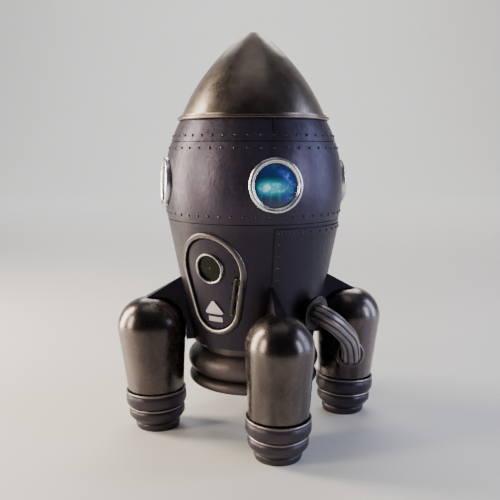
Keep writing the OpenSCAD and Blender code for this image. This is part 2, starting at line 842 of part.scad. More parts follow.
// A plain raised bar under the arrow
module latch_mark() {
  color(MARKING) intersection() {
    hull_skin(panel_inset - mark_t, panel_inset, 65, 90);
    front_slab() translate([-mark_w / 2, mark_low_z]) square([mark_w, mark_h]);
  }
}

// ---------- feed pipe ----------

flange_r = 10.3;
flange_out = 7.5;
flange_t = 2;
cup_r = 6.8;
boss_r = 9.2;
boss_z = 42.6;
boss_out = 2.4;
boss_leg = 135;
// How far the boss is turned from the nacelle's side towards the rocket
boss_turn = 13.5;
// Distance of the nacelle's wall from its own axis, at the height of the boss
boss_wall_r = 18;

// A short cup on the hull that ends in a wide flange
module pipe_socket() {
  color(DARK_METAL) difference() {
    on_hull(pipe_az, pipe_z) outward() union() {
      translate([0, 0, -2]) cylinder(r = cup_r, h = flange_out);
      translate([0, 0, flange_out - flange_t]) cylinder(r = flange_r, h = flange_t);
    }
    cone_space(0.01);
    on_hull(pipe_az, pipe_z) outward() translate([0, 0, flange_out - 4]) cylinder(r = pipe_r + 0.1, h = 6);
  }
}

// Places children on the nacelle's wall, with +Z along the boss's axis
module on_boss() {
  at_azimuth(boss_leg) translate([foot_rho + boss_z * tan(leg_lean), 0, boss_z])
    rotate([0, 0, -boss_turn]) rotate([90, 0, 0]) translate([0, 0, boss_wall_r]) children();
}

module pipe_boss() {
  color(POLISHED) difference() {
    on_boss() translate([0, 0, -4]) cylinder(r = boss_r, h = boss_out + 4);
    at_azimuth(boss_leg) nacelle_blend(-0.01, 32);
    on_boss() translate([0, 0, 0.5]) cylinder(r = pipe_r + 0.1, h = 10);
  }
}

// Points on the axes of the two fittings, at a distance out from the hull or from the nacelle
socket_way = [
  cos(flare_angle) * sin(pipe_az), -cos(flare_angle) * cos(pipe_az), -sin(flare_angle)
];
function socket_point(out) =
  [hull_r(pipe_z) * sin(pipe_az), -hull_r(pipe_z) * cos(pipe_az), pipe_z] + out * socket_way;
function boss_point(out) =
  let (rho = foot_rho + boss_z * tan(leg_lean), a = boss_leg - 90, b = a - 90 - boss_turn)
  [rho * cos(a), rho * sin(a), boss_z] + (boss_wall_r + out) * [cos(b), sin(b), 0];

// The bent pipe: straight runs between corners, and a bend at each corner
pipe_ends = [socket_point(flange_out - 3), boss_point(0.6)];
pipe_corners = [socket_point(18), [59.4, 16.5, 56], boss_point(8.2)];
bend_radii = [9, 28, 7];
bend_steps = [9, 4, 6];

// Points around one bend, from the run before the corner to the run after it
function bend(before, corner, after, r, steps) =
  let (
    u = unit(before - corner), v = unit(after - corner), half = acos(u * v) / 2,
    centre = corner + unit(u + v) * r / sin(half),
    p = corner + u * r / tan(half) - centre, q = corner + v * r / tan(half) - centre,
    w = unit(cross(cross(p, q), p)), turn = 180 - 2 * half
  )
  [for (i = [0:steps]) centre + p * cos(turn * i / steps) + w * r * sin(turn * i / steps)];

pipe_line = concat(
  [pipe_ends[0]],
  bend(pipe_ends[0], pipe_corners[0], pipe_corners[1], bend_radii[0], bend_steps[0]),
  bend(pipe_corners[0], pipe_corners[1], pipe_corners[2], bend_radii[1], bend_steps[1]),
  bend(pipe_corners[1], pipe_corners[2], pipe_ends[1], bend_radii[2], bend_steps[2]),
  [pipe_ends[1]]
);

function pipe_way(i) =
  unit(pipe_line[min(i + 1, len(pipe_line) - 1)] - pipe_line[max(i - 1, 0)]);
// The section's first direction is carried along the pipe, so that the ribs don't twist
function carry(a, way) = unit(a - way * (a * way));
pipe_side = [
  for (i = 0, a = unit(cross(pipe_way(0), [0, 0, 1])); i < len(pipe_line); i = i + 1, a = carry(a, pipe_way(i))) a
];

// Sweeps a ribbed section along the pipe's centre line
module feed_pipe() {
  sides = 2 * pipe_ribs;
  valley = 0.86;
  rings = len(pipe_line);
  points = [
    for (i = [0:rings - 1], k = [0:sides - 1])
      let (a = pipe_side[i], b = cross(pipe_way(i), a), r = pipe_r * (k % 2 == 0 ? 1 : valley))
      pipe_line[i] + r * (cos(360 * k / sides) * a + sin(360 * k / sides) * b)
  ];
  walls = [
    for (i = [0:rings - 2], k = [0:sides - 1])
      let (n = (k + 1) % sides)
      [i * sides + k, i * sides + n, (i + 1) * sides + n, (i + 1) * sides + k]
  ];
  upper_halves = [for (w = walls) [w[0], w[1], w[2]]];
  lower_halves = [for (w = walls) [w[0], w[2], w[3]]];
  ends = [[for (k = [sides - 1:-1:0]) k], [for (k = [0:sides - 1]) (rings - 1) * sides + k]];
  color(SILVER) polyhedron(points, concat(upper_halves, lower_halves, ends));
}

// ---------- the assembly ----------

lower_hull();
porthole_band();
top_band();
seam_hoop(lower_seam_z);  // lower_seam_hoop
seam_hoop(upper_seam_z);  // upper_seam_hoop
lower_seam_rivets();
upper_seam_rivets();
side_plate();
side_plate_rivets();
nose_ring();
nose_cone();
base_plate();
engine_neck();
engine_upper_ring();
engine_lower_ring();
engine_nozzle();
engine_fasteners();
for (i = [1:4]) {
  pylon(LEGS[i - 1]);
  nacelle(LEGS[i - 1]);
  upper_collar(LEGS[i - 1]);
  lower_collar(LEGS[i - 1]);
  foot(LEGS[i - 1]);
  porthole_bezel(LEGS[i - 1]);
  porthole_glass(LEGS[i - 1]);
}
leg_screws();
porthole_retainers();
hatch_frame();
hatch_hinge_bracket();
hatch_hinge_pin();
hatch_panel();
hatch_window_bezel();
hatch_window_glass();
hatch_window_retainer();
latch_arrow();
latch_bolt();
latch_mark();
pipe_socket();
feed_pipe();
pipe_boss();
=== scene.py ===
"""Looks of the tin space rocket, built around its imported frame.

Sizes of the rocket are millimetres until a mesh is made, which turns them into metres. The floor and the
lights are laid out in metres. +Z is up and the hatch faces -Y. An azimuth is counted from -Y towards +X,
in degrees.
"""

import json
import math

import bmesh
import bpy
from mathutils import Matrix, Vector, noise


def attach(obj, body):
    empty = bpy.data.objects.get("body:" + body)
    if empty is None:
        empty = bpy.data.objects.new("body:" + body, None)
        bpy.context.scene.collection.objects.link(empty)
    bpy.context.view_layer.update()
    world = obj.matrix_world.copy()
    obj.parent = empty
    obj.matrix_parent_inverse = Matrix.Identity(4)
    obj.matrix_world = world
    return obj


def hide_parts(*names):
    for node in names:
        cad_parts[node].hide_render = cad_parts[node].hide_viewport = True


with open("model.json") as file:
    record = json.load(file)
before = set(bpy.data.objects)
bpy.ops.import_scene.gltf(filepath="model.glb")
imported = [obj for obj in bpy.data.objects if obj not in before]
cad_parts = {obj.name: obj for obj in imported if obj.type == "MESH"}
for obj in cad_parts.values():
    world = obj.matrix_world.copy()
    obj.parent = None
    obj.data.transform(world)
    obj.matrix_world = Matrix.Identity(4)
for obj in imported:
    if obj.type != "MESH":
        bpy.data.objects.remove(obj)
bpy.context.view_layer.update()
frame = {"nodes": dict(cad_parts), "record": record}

MM = 0.001
WELD_M = 1e-6
AZIMUTHS = (45, 135, 225, 315)

# The hull: a cone that runs into an arc
HULL_BASE_Z, HULL_BASE_R, HULL_FLARE = 54.0, 38.1, 0.19
BELLY_Z, BELLY_ARC_R = 147.5, 84.0
FLARE = math.atan(HULL_FLARE)
CONE_TOP_Z = BELLY_Z - BELLY_ARC_R * math.sin(FLARE)
CONE_TOP_R = HULL_BASE_R + HULL_FLARE * (CONE_TOP_Z - HULL_BASE_Z)
BELLY_ARC_X = CONE_TOP_R - BELLY_ARC_R * math.cos(FLARE)

# The ring between the hull and the nose
RING_LOW_Z, RING_TOP_Z, RING_BORE_R = 187.05, 189.35, 42.5
BEAD_RHO, BEAD_Z, BEAD_R = 45.0, 188.2, 1.03

# Windows
PORTHOLE_Z, PORTHOLE_GLASS_R, PORTHOLE_BEZEL_R, BEZEL_DEPTH = 150.8, 12.1, 15.3, 3.6
GLASS_DOME, GLASS_EDGE_Z, GLASS_T, GLASS_LAP = 0.9, -0.72, 1.6, 0.5
WINDOW_Z, WINDOW_GLASS_R, WINDOW_BEZEL_R, PANEL_INSET = 103.0, 7.7, 9.5, 0.6

# The hatch's outline is two rounds and their tangents; its frame has a ledge with a notch for the latch
HATCH_TOP_Z, HATCH_TOP_R, HATCH_LOW_Z, HATCH_LOW_R = 102.3, 22.0, 79.7, 17.0
HATCH_LEAN = math.asin((HATCH_TOP_R - HATCH_LOW_R) / (HATCH_TOP_Z - HATCH_LOW_Z))
FRAME_W, FRAME_WALL, FRAME_DEPTH = 3.6, 0.95, 2.68
LEDGE_W, LEDGE_OUT, LEDGE_END_X = 2.75, -1.92, 7.5
NOTCH_X, NOTCH_LOW_Z, NOTCH_TOP_Z = -8.0, 75.8, 80.4

# Legs: s is measured up the leaning leg
FOOT_RHO, LEG_LEAN = 60.9, 2.4
NACELLE_R, NACELLE_RIM_R, NACELLE_RIM_S, NACELLE_RIM_RHO = 18.8, 17.2, 24.0, 61.85
SHOULDER_Z, SHOULDER_IN, SHOULDER_OUT = 63.0, 61.5, 65.8
NACELLE_SKIN, DENT_DEPTH, DENT_SCALE = 0.1, 0.22, 0.055
FOOT_TOP_S, LOWER_COLLAR_TOP_S, UPPER_COLLAR_TOP_S = 4.6, 14.8, 24.6
UPPER_COLLAR_R, LOWER_COLLAR_R = 18.7, 17.3
SCREW_HOLE_R, TUBE_IN_R, TUBE_OUT_R = 1.6, 14.6, 15.6

# Feed pipe, from a flanged cup on the hull to a boss on a leg
PIPE_AZ, PIPE_Z, PIPE_R, PIPE_RIBS, RIB_POINTS = 80, 77.0, 5.9, 10, 12
PIPE_KNEE, PIPE_STEP = Vector((59.4, 16.5, 56)), 0.7
ELBOW_OUT, ELBOW_R, KNEE_R, INLET_OUT, INLET_R = 18, 9, 28, 8.2, 7
FLANGE_R, FLANGE_OUT, FLANGE_T, CUP_R, CUP_FLOOR, CUP_BACK = 10.3, 7.5, 2.0, 6.8, 3.6, -1.4
BOSS_AZ, BOSS_R, BOSS_Z, BOSS_OUT, BOSS_TURN, BOSS_WALL_R = 135, 9.2, 42.6, 2.4, 13.5, 18.0
BOSS_FLOOR, BOSS_BACK, PIPE_PLAY = 0.5, -2.6, 0.1

CAMERA_AZ, CAMERA_PITCH, CAMERA_YAW = 31.82, 8.35, 0.27
CAMERA_DISTANCE, CAMERA_HEIGHT, CAMERA_LENS = 420.9, 169.8, 49.05


# ---------- places ----------

def toward(azimuth, elevation=0.0):
    """The unit vector at an azimuth and an elevation."""
    a, e = math.radians(azimuth), math.radians(elevation)
    return Vector((math.sin(a) * math.cos(e), -math.cos(a) * math.cos(e), math.sin(e)))


def turned(degrees, axis):
    """A rotation about an axis."""
    return Matrix.Rotation(math.radians(degrees), 4, axis)


# Lays a revolved piece's own axis along a place's +X, out of the skin
OUTWARD = turned(90, "Y")


def hull_r(z):
    """The hull's radius at a height."""
    if z < CONE_TOP_Z:
        return HULL_BASE_R + HULL_FLARE * (z - HULL_BASE_Z)
    return BELLY_ARC_X + math.sqrt(BELLY_ARC_R ** 2 - (z - BELLY_Z) ** 2)


def hull_tilt(z):
    """How far the skin leans in at a height: less than 0 where it flares out upwards."""
    return -FLARE if z < CONE_TOP_Z else math.asin((z - BELLY_Z) / BELLY_ARC_R)


def at_azimuth(az):
    """+X away from the rocket's axis."""
    return turned(az - 90, "Z")


def on_hull(az, z):
    """+X out of the skin, +Y towards a larger azimuth, +Z up the skin."""
    tilt = Matrix.Rotation(-hull_tilt(z), 4, "Y")
    return at_azimuth(az) @ Matrix.Translation((hull_r(z), 0, z)) @ tilt


def on_leg(az):
    """At a foot's centre on the ground, with +Z up the leaning leg."""
    return at_azimuth(az) @ Matrix.Translation((FOOT_RHO, 0, 0)) @ turned(LEG_LEAN, "Y")


def on_boss():
    """On the nacelle's wall, with +Z along the boss's axis."""
    rho = FOOT_RHO + BOSS_Z * math.tan(math.radians(LEG_LEAN))
    along_axis = turned(-BOSS_TURN, "Z") @ turned(90, "X") @ Matrix.Translation((0, 0, BOSS_WALL_R))
    return at_azimuth(BOSS_AZ) @ Matrix.Translation((rho, 0, BOSS_Z)) @ along_axis


def skin_point(x, z, out):
    """A point of the hull's cone as seen from the front at x and z, moved out of the skin."""
    r = hull_r(z) + out / math.cos(FLARE)
    return Vector((x, -math.sqrt(r * r - x * x), z))


# ---------- meshes ----------

def make_object(name, verts, faces, material, wear=None, **values):
    """A smooth mesh from points in millimetres. Wear and other values hold one number for each point."""
    mesh = bpy.data.meshes.new(name)
    mesh.from_pydata([Vector(v) * MM for v in verts], [], faces)
    for key, numbers in {"wear": wear or [0.0] * len(verts), **values}.items():
        mesh.attributes.new(key, "FLOAT", "POINT").data.foreach_set("value", list(numbers))
    bm = bmesh.new()
    bm.from_mesh(mesh)
    bmesh.ops.remove_doubles(bm, verts=bm.verts, dist=WELD_M)
    bmesh.ops.recalc_face_normals(bm, faces=bm.faces)
    bm.to_mesh(mesh)
    bm.free()
    mesh.validate()
    mesh.polygons.foreach_set("use_smooth", [True] * len(mesh.polygons))
    obj = bpy.data.objects.new(name, mesh)
    bpy.context.scene.collection.objects.link(obj)
    obj.data.materials.append(material)
    return obj


def weighted_normals(obj):
    """Keeps wide faces flat in the shading beside narrow rounded edges."""
    mod = obj.modifiers.new("normals", "WEIGHTED_NORMAL")
    mod.weight = 80
    return obj


def fillet(points, steps=4):
    """Rounds a closed outline of (r, z, radius, wear): each corner becomes an arc of its radius."""
    most = 0.45  # the share of a side that one arc may use up
    out = []
    for i, (x, y, radius, wear) in enumerate(points):
        corner = Vector((x, y))
        before = Vector(points[i - 1][:2]) - corner
        after = Vector(points[(i + 1) % len(points)][:2]) - corner
        if radius <= 0:
            out.append((x, y, wear))
            continue
        reach = min(radius, most * before.length, most * after.length)
        a, b = corner + before.normalized() * reach, corner + after.normalized() * reach
        for s in range(steps + 1):
            t = s / steps
            p = a * (1 - t) ** 2 + corner * 2 * t * (1 - t) + b * t * t
            out.append((p.x, p.y, wear))
    return out


def circle(r, z, sides):
    """Evenly spaced points round +Z."""
    angles = [math.radians(360) * k / sides for k in range(sides)]
    return [Vector((r * math.cos(a), r * math.sin(a), z)) for a in angles]


def revolve(name, outline, place, material, sides=96):
    """Turns a closed outline of (r, z, wear) about +Z of the place."""
    rounds = [circle(r, z, sides) for r, z, _ in outline]
    verts = [place @ ring[k] for k in range(sides) for ring in rounds]
    wear = [w for _, _, w in outline] * sides
    faces = []
    n = len(outline)
    for k in range(sides):
        k2 = (k + 1) % sides
        for i in range(n):
            j = (i + 1) % n
            on_axis = outline[i][0] < WELD_M and outline[j][0] < WELD_M
            if not on_axis:
                faces.append((k * n + i, k * n + j, k2 * n + j, k2 * n + i))
    return weighted_normals(make_object(name, verts, faces, material, wear))


def loft(name, rings, material, wear=None, closed_path=False, **values):
    """Joins rings of equally many points into a tube, with its ends closed."""
    n, count = len(rings[0]), len(rings)
    verts = [p for ring in rings for p in ring]
    faces = []
    for i in range(count if closed_path else count - 1):
        a, b = i * n, ((i + 1) % count) * n
        faces += [(a + k, a + (k + 1) % n, b + (k + 1) % n, b + k) for k in range(n)]
    if not closed_path:
        faces += [tuple(range(n)), tuple((count - 1) * n + k for k in reversed(range(n)))]
    return make_object(name, verts, faces, material, wear, **values)


def finished(obj, body, slot, *nodes):
    """Ties a piece to its body and hides the CAD nodes that it stands for. The slot is not used."""
    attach(obj, body)
    if nodes:
        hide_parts(*nodes)


# ---------- materials ----------

SOCKETS = {"color": "Base Color", "rough": "Roughness", "metal": "Metallic", "coat": "Coat Weight",
           "coat_rough": "Coat Roughness", "specular": "Specular IOR Level", "glow": "Emission Color",
           "glow_strength": "Emission Strength"}


def shade(color, factor):
    """A colour made darker or lighter."""
    return tuple(min(1, c * factor) for c in color)


class Shader:
    """A Principled material and the few nodes that every finish here is mixed from."""

    def __init__(self, name):
        self.material = bpy.data.materials.new(name)
        self.material.use_nodes = True
        self.nodes = self.material.node_tree.nodes
        self.links = self.material.node_tree.links
        self.principled = next(n for n in self.nodes if n.type == "BSDF_PRINCIPLED")
        self.position = self.nodes.new("ShaderNodeTexCoord").outputs["Object"]

    def put(self, socket, value):
        """Sets a uniform value on a socket, or links another node's output to it."""
        if isinstance(value, tuple):
            socket.default_value = (*value, 1)
        elif isinstance(value, (int, float)):
            socket.default_value = value
        else:
            self.links.new(value, socket)

    def stretched(self, scale):
        mapping = self.nodes.new("ShaderNodeMapping")
        mapping.inputs["Scale"].default_value = scale
        self.links.new(self.position, mapping.inputs["Vector"])
        return mapping.outputs["Vector"]

    def noise(self, scale, detail=4.0, rough=0.55, stretch=None, distortion=0.0):
        n = self.nodes.new("ShaderNodeTexNoise")
        n.inputs["Scale"].default_value = scale
        n.inputs["Detail"].default_value = detail
        n.inputs["Roughness"].default_value = rough
        n.inputs["Distortion"].default_value = distortion
        self.links.new(self.stretched(stretch) if stretch else self.position, n.inputs["Vector"])
        return n.outputs["Fac"]

    def facing(self):
        """0 where the surface faces the eye, 1 where it turns away."""
        n = self.nodes.new("ShaderNodeLayerWeight")
        n.inputs["Blend"].default_value = 0.5
        return n.outputs["Facing"]

    def height(self):
        """Height above the ground, in metres."""
        n = self.nodes.new("ShaderNodeSeparateXYZ")
        self.links.new(self.position, n.inputs[0])
        return n.outputs["Z"]

    def attribute(self, name):
        n = self.nodes.new("ShaderNodeAttribute")
        n.attribute_name = name
        return n.outputs["Fac"]

    def remap(self, value, low, high, to_low=0.0, to_high=1.0):
        n = self.nodes.new("ShaderNodeMapRange")
        n.clamp = True
        self.links.new(value, n.inputs["Value"])
        for key, v in zip(("From Min", "From Max", "To Min", "To Max"), (low, high, to_low, to_high)):
            n.inputs[key].default_value = v
        return n.outputs["Result"]

    def math(self, kind, a, b):
        """Sums and products are held between 0 and 1."""
        n = self.nodes.new("ShaderNodeMath")
        n.operation = kind
        n.use_clamp = kind in ("ADD", "MULTIPLY")
        self.put(n.inputs[0], a)
        self.put(n.inputs[1], b)
        return n.outputs[0]

    def times(self, a, b):
        return self.math("MULTIPLY", a, b)

    def weighed(self, a, a_share, b, b_share):
        return self.math("ADD", self.times(a, a_share), self.times(b, b_share))

    def mix(self, fac, a, b):
        n = self.nodes.new("ShaderNodeMix")
        n.data_type = "RGBA"
        self.links.new(fac, n.inputs[0])
        self.put(n.inputs[6], a)
        self.put(n.inputs[7], b)
        return n.outputs[2]

    def worn_edge(self, scale):
        """1 where a mesh's wear value beats a noise, so that rubbed metal comes and goes along an edge."""
        rubbing = self.weighed(self.noise(scale, 4, 0.65), 0.6, self.noise(48, 2, 0.5), 0.6)
        return self.remap(self.math("SUBTRACT", self.attribute("wear"), rubbing), 0.02, 0.42)

    def bump(self, parts):
        """parts: (height, distance in mm) from coarse to fine."""
        normal = None
        for height, distance in parts:
            n = self.nodes.new("ShaderNodeBump")
            n.inputs["Strength"].default_value = 1.0
            n.inputs["Distance"].default_value = distance * MM
            self.links.new(height, n.inputs["Height"])
            if normal:
                self.links.new(normal, n.inputs["Normal"])
            normal = n.outputs["Normal"]
        self.links.new(normal, self.principled.inputs["Normal"])

    def set(self, **values):
        for key, value in values.items():
            self.put(self.principled.inputs[SOCKETS[key]], value)


def painted_metal(name, light, dark, worn, metal, rough=(0.34, 0.56), grime=0.0):
    """Satin paint over metal: cloudy tone, upright streaks, dust, worn edges and painted shade lower down,
    under the hull's belly.
    """
    s = Shader(name)
    cloud = s.noise(26, 5, 0.6)
    streak = s.noise(70, 3, 0.5, stretch=(1, 1, 0.1))
    fine = s.noise(420, 4, 0.6)
    grain = s.noise(1900, 2, 0.5)
    color = s.mix(s.remap(s.weighed(cloud, 0.62, streak, 0.38), 0.34, 0.62), dark, light)
    dust = s.remap(fine, 0.66, 0.74)
    color = s.mix(s.times(dust, 0.3), color, shade(light, 1.8))
    if grime:
        # Painted shade: the paint darkens from 148 mm down to 122 mm, below the belly where less light falls.
        unshaded_z, shaded_z = 0.148, 0.122
        color = s.mix(s.times(s.remap(s.height(), unshaded_z, shaded_z), grime), color, shade(dark, 0.5))
    edge = s.worn_edge(330)
    s.set(color=s.mix(edge, color, worn), metal=s.math("MAXIMUM", edge, metal), specular=0.45,
          rough=s.remap(s.weighed(cloud, 0.6, fine, 0.4), 0.36, 0.64, *rough))
    s.bump([(cloud, 0.9), (fine, 0.10), (grain, 0.025)])
    return s.material


def polished_metal(name, light, dark, rough, stained=True, beaten=1.0, limb=0.0, runs=0.0):
    """Polished gunmetal: mottled tone, soft beaten waves, faint brushing, painted dark reflection streaks,
    and painted shade where it faces the eye under a painted sheen where it turns away.
    """
    s = Shader(name)
    cloud = s.noise(34, 6, 0.62, distortion=0.4)
    wave = s.noise(58, 1, 0.3, stretch=(1, 1, 0.35))
    fine = s.noise(600, 4, 0.6, stretch=(1, 1, 0.25))
    blotch = s.noise(150, 5, 0.65)
    color = s.mix(s.remap(cloud, 0.36, 0.64), dark, light)
    if stained:
        color = s.mix(s.times(s.remap(blotch, 0.56, 0.72), 0.4), color, shade(dark, 0.45))
    # Painted light: darker where the surface faces the eye, paler where it turns away, as if lit from the
    # sides.
    if limb:
        color = s.mix(s.remap(s.facing(), 0.0, 0.2, limb, 0.0), color, shade(dark, 0.4))
        color = s.mix(s.remap(s.facing(), 0.12, 0.5, 0.0, limb), color, shade(light, 1.6))
    # Painted reflections: runs sets the strength of dark upright streaks, like surroundings mirrored in the
    # polish.
    if runs:
        run = s.noise(85, 2, 0.5, stretch=(1, 1, 0.07))
        color = s.mix(s.remap(run, 0.42, 0.62, 0.0, runs), color, shade(dark, 0.5))
    rubbed = (0.75, 0.73, 0.7)
    s.set(color=s.mix(s.worn_edge(260), color, rubbed), metal=1.0,
          rough=s.remap(s.weighed(blotch, 0.6, fine, 0.4), 0.36, 0.66, *rough))
    s.bump([(wave, 1.1 * beaten), (s.noise(80, 1, 0.4), 0.22 * beaten), (fine, 0.012)])
    return s.material


def ribbed_metal(name, light, dark):
    """Grey metal with painted shade in its grooves; the mesh's groove value says where they are."""
    s = Shader(name)
    cloud = s.noise(60, 5, 0.6)
    fine = s.noise(700, 4, 0.6)
    color = s.mix(s.remap(cloud, 0.36, 0.64), dark, light)
    # Painted shade: the grooves between the ribs are darkened and made less metallic.
    groove_shade = s.remap(s.times(s.attribute("groove"), s.remap(fine, 0.2, 0.6, 0.75, 1.0)), 0.05, 0.32)
    groove_shade_color = (0.012, 0.011, 0.013)
    s.set(color=s.mix(groove_shade, color, groove_shade_color), metal=s.remap(groove_shade, 0, 1, 0.9, 0.1),
          rough=s.remap(fine, 0.35, 0.65, 0.3, 0.48))
    s.bump([(cloud, 0.2), (fine, 0.03)])
    return s.material


def deep_glass(name, deep, bright, glint, violet, glare):
    """Blue glass painted with light: a glowing cyan band across the middle, painted glints, glare and
    reflections, and painted shade at the rim.

    The mesh's across and up values run from -1 to 1 over the glass, and lit says where the painted glowing
    band lies.
    """
    s = Shader(name)
    cloud = s.noise(150, 4, 0.6, distortion=0.8)
    across, up, lit = s.attribute("across"), s.attribute("up"), s.attribute("lit")

    # Painted glow: a cyan band across the middle, brightest left of centre.
    painted_glow_bar = s.remap(s.times(lit, s.remap(cloud, 0.3, 0.7, 0.75, 1.1)), 0.05, 1.0)
    color = s.mix(s.times(s.remap(across, 0.75, -0.25, 0.25, 1.0), painted_glow_bar), deep, bright)

    # Painted reflection: a violet corner towards the upper right.
    corner = s.remap(s.weighed(across, 0.6, up, 0.3), 0.1, 0.42)
    color = s.mix(s.times(corner, s.remap(cloud, 0.35, 0.6, 0.2, 0.9)), color, violet)

    # Painted light: faint upright streaks under the band.
    streaks = s.remap(s.noise(330, 2, 0.5, stretch=(1, 1, 0.08)), 0.46, 0.64, 0, 0.22)
    below = s.times(s.remap(up, 0.05, -0.35), s.remap(up, -0.95, -0.45))
    color = s.mix(s.times(streaks, below), color, bright)

    # Painted glint: a pale, broken-up middle in the band.
    painted_glint_core = s.times(s.remap(lit, 0.55, 1.0), s.remap(across, 0.6, 0.0))
    color = s.mix(s.times(painted_glint_core, s.remap(s.noise(380, 3, 0.6), 0.44, 0.66)), color, glint)

    # Painted glare: bright blue spots in the violet corner.
    painted_glare_patches = s.remap(s.noise(210, 4, 0.6, distortion=1.0), 0.5, 0.66, 0, 0.5)
    color = s.mix(s.times(s.remap(corner, 0.3, 0.9), painted_glare_patches), color, glare)

    # Painted shade: darker towards the rim.
    edge = s.math("ADD", s.times(across, across), s.times(up, up))
    color = s.mix(s.remap(edge, 0.35, 1.0, 0.0, 0.85), color, shade(deep, 0.5))

    # The painted colour also glows, though the glass is no lamp.
    s.set(color=color, glow=color, glow_strength=0.6, specular=0.35, coat=1.0, coat_rough=0.03,
          rough=s.remap(s.noise(500), 0.4, 0.7, 0.04, 0.12))
    s.bump([(s.noise(90, 2), 0.1)])
    return s.material


def smoked_glass(name, light, dark):
    """Nearly black green glass with a faint cloud and a dusty film."""
    s = Shader(name)
    s.set(color=s.mix(s.remap(s.noise(110, 4, 0.6), 0.35, 0.65), dark, light), specular=0.12,
          rough=s.remap(s.noise(520, 3), 0.3, 0.7, 0.12, 0.3))
    s.bump([(s.noise(90, 2), 0.08)])
    return s.material


def studio_floor(name):
    """Pale matt floor with faint clouds."""
    s = Shader(name)
    s.set(color=s.mix(s.noise(3, 3), (0.70, 0.69, 0.68), (0.76, 0.75, 0.74)),
          rough=s.remap(s.noise(9, 4), 0.3, 0.7, 0.55, 0.75))
    s.bump([(s.noise(160, 3), 0.04)])
    return s.material


MATERIALS = {}


def add_material(make, name, **look):
    MATERIALS[name] = make(name, **look)


def make_materials():
    """Every finish of the rocket. Light and dark are the two tones that a finish wanders between."""
    # The hull paint is painted darker lower down, as shade under its belly.
    add_material(painted_metal, "hull_paint", light=(0.060, 0.049, 0.077), dark=(0.030, 0.024, 0.043),
                 worn=(0.46, 0.42, 0.41), rough=(0.3, 0.48), metal=0.72, grime=0.8)
    # A lighter, glossier copy of the hull paint for the hatch bead: its lighter tone is partly the bead's own
    # and partly painted highlight.
    add_material(painted_metal, "frame_paint", light=(0.135, 0.115, 0.120), dark=(0.070, 0.058, 0.068),
                 worn=(0.5, 0.46, 0.44), rough=(0.24, 0.38), metal=0.85)
    add_material(painted_metal, "collar_paint", light=(0.054, 0.043, 0.057), dark=(0.026, 0.021, 0.030),
                 worn=(0.25, 0.225, 0.22), rough=(0.28, 0.5), metal=0.7)
    add_material(painted_metal, "engine_paint", light=(0.098, 0.078, 0.082), dark=(0.046, 0.036, 0.040),
                 worn=(0.4, 0.37, 0.34), metal=0.7)
    add_material(polished_metal, "dark_metal", light=(0.078, 0.072, 0.074), dark=(0.034, 0.031, 0.034),
                 rough=(0.28, 0.46), beaten=0.3)
    # The casings carry painted shade, a painted sheen and painted reflection streaks.
    add_material(polished_metal, "polished_metal", light=(0.150, 0.127, 0.122), dark=(0.066, 0.054, 0.056),
                 rough=(0.22, 0.33), stained=False, limb=0.8, runs=0.6)
    # The nose carries painted shade in its middle and a painted sheen towards its outline.
    add_material(polished_metal, "nose_metal", light=(0.185, 0.152, 0.132), dark=(0.070, 0.056, 0.057),
                 rough=(0.26, 0.40), stained=False, limb=0.65)
    add_material(polished_metal, "trim_metal", light=(0.36, 0.34, 0.34), dark=(0.19, 0.18, 0.185),
                 rough=(0.2, 0.38), beaten=0.5)
    add_material(polished_metal, "bright_metal", light=(0.84, 0.83, 0.87), dark=(0.54, 0.53, 0.57),
                 rough=(0.16, 0.34), beaten=0.5)
    # The rivets are darker than the hull paint: painted shade on their heads.
    add_material(painted_metal, "rivet_metal", light=(0.05, 0.044, 0.056), dark=(0.018, 0.016, 0.022),
                 worn=(0.6, 0.57, 0.55), rough=(0.2, 0.3), metal=0.8)
    add_material(polished_metal, "fastener_steel", light=(0.5, 0.49, 0.48), dark=(0.3, 0.29, 0.29),
                 rough=(0.22, 0.4), beaten=0.2)
    add_material(polished_metal, "hinge_brass", light=(0.050, 0.045, 0.035), dark=(0.026, 0.023, 0.019),
                 rough=(0.36, 0.5), beaten=0.2)
    # The pipe's finish paints shade into its grooves.
    add_material(ribbed_metal, "pipe_metal", light=(0.33, 0.29, 0.30), dark=(0.19, 0.165, 0.175))
    # Apart from deep, these tones are painted glow, glints and reflections.
    add_material(deep_glass, "blue_glass", deep=(0.001, 0.014, 0.050), bright=(0.04, 0.42, 0.52),
                 glint=(0.50, 1.0, 1.0), violet=(0.03, 0.05, 0.34), glare=(0.12, 0.42, 0.85))
    add_material(smoked_glass, "dark_green_glass", light=(0.006, 0.008, 0.005), dark=(0.002, 0.003, 0.002))
    add_material(painted_metal, "marking_paint", light=(0.52, 0.49, 0.53), dark=(0.36, 0.34, 0.38),
                 worn=(0.2, 0.18, 0.2), metal=0.1)


def paint_cad_nodes():
    """Each shown CAD node takes its slot's finish, but the nose has a duller polish of its own."""
    for part in frame["record"]["subparts"]:
        obj = frame["nodes"][part["node"]]
        finish = "nose_metal" if part["node"] == "nose_cone" else part["material_slot"]
        obj.data.materials.clear()
        obj.data.materials.append(MATERIALS[finish])


def turned_piece(name, node, outline, place, finish, slot, body="hull", sides=96):
    """A revolved piece that stands for one CAD node."""
    finished(revolve(name, outline, place, MATERIALS[finish], sides), body, slot, node)


# ---------- legs ----------

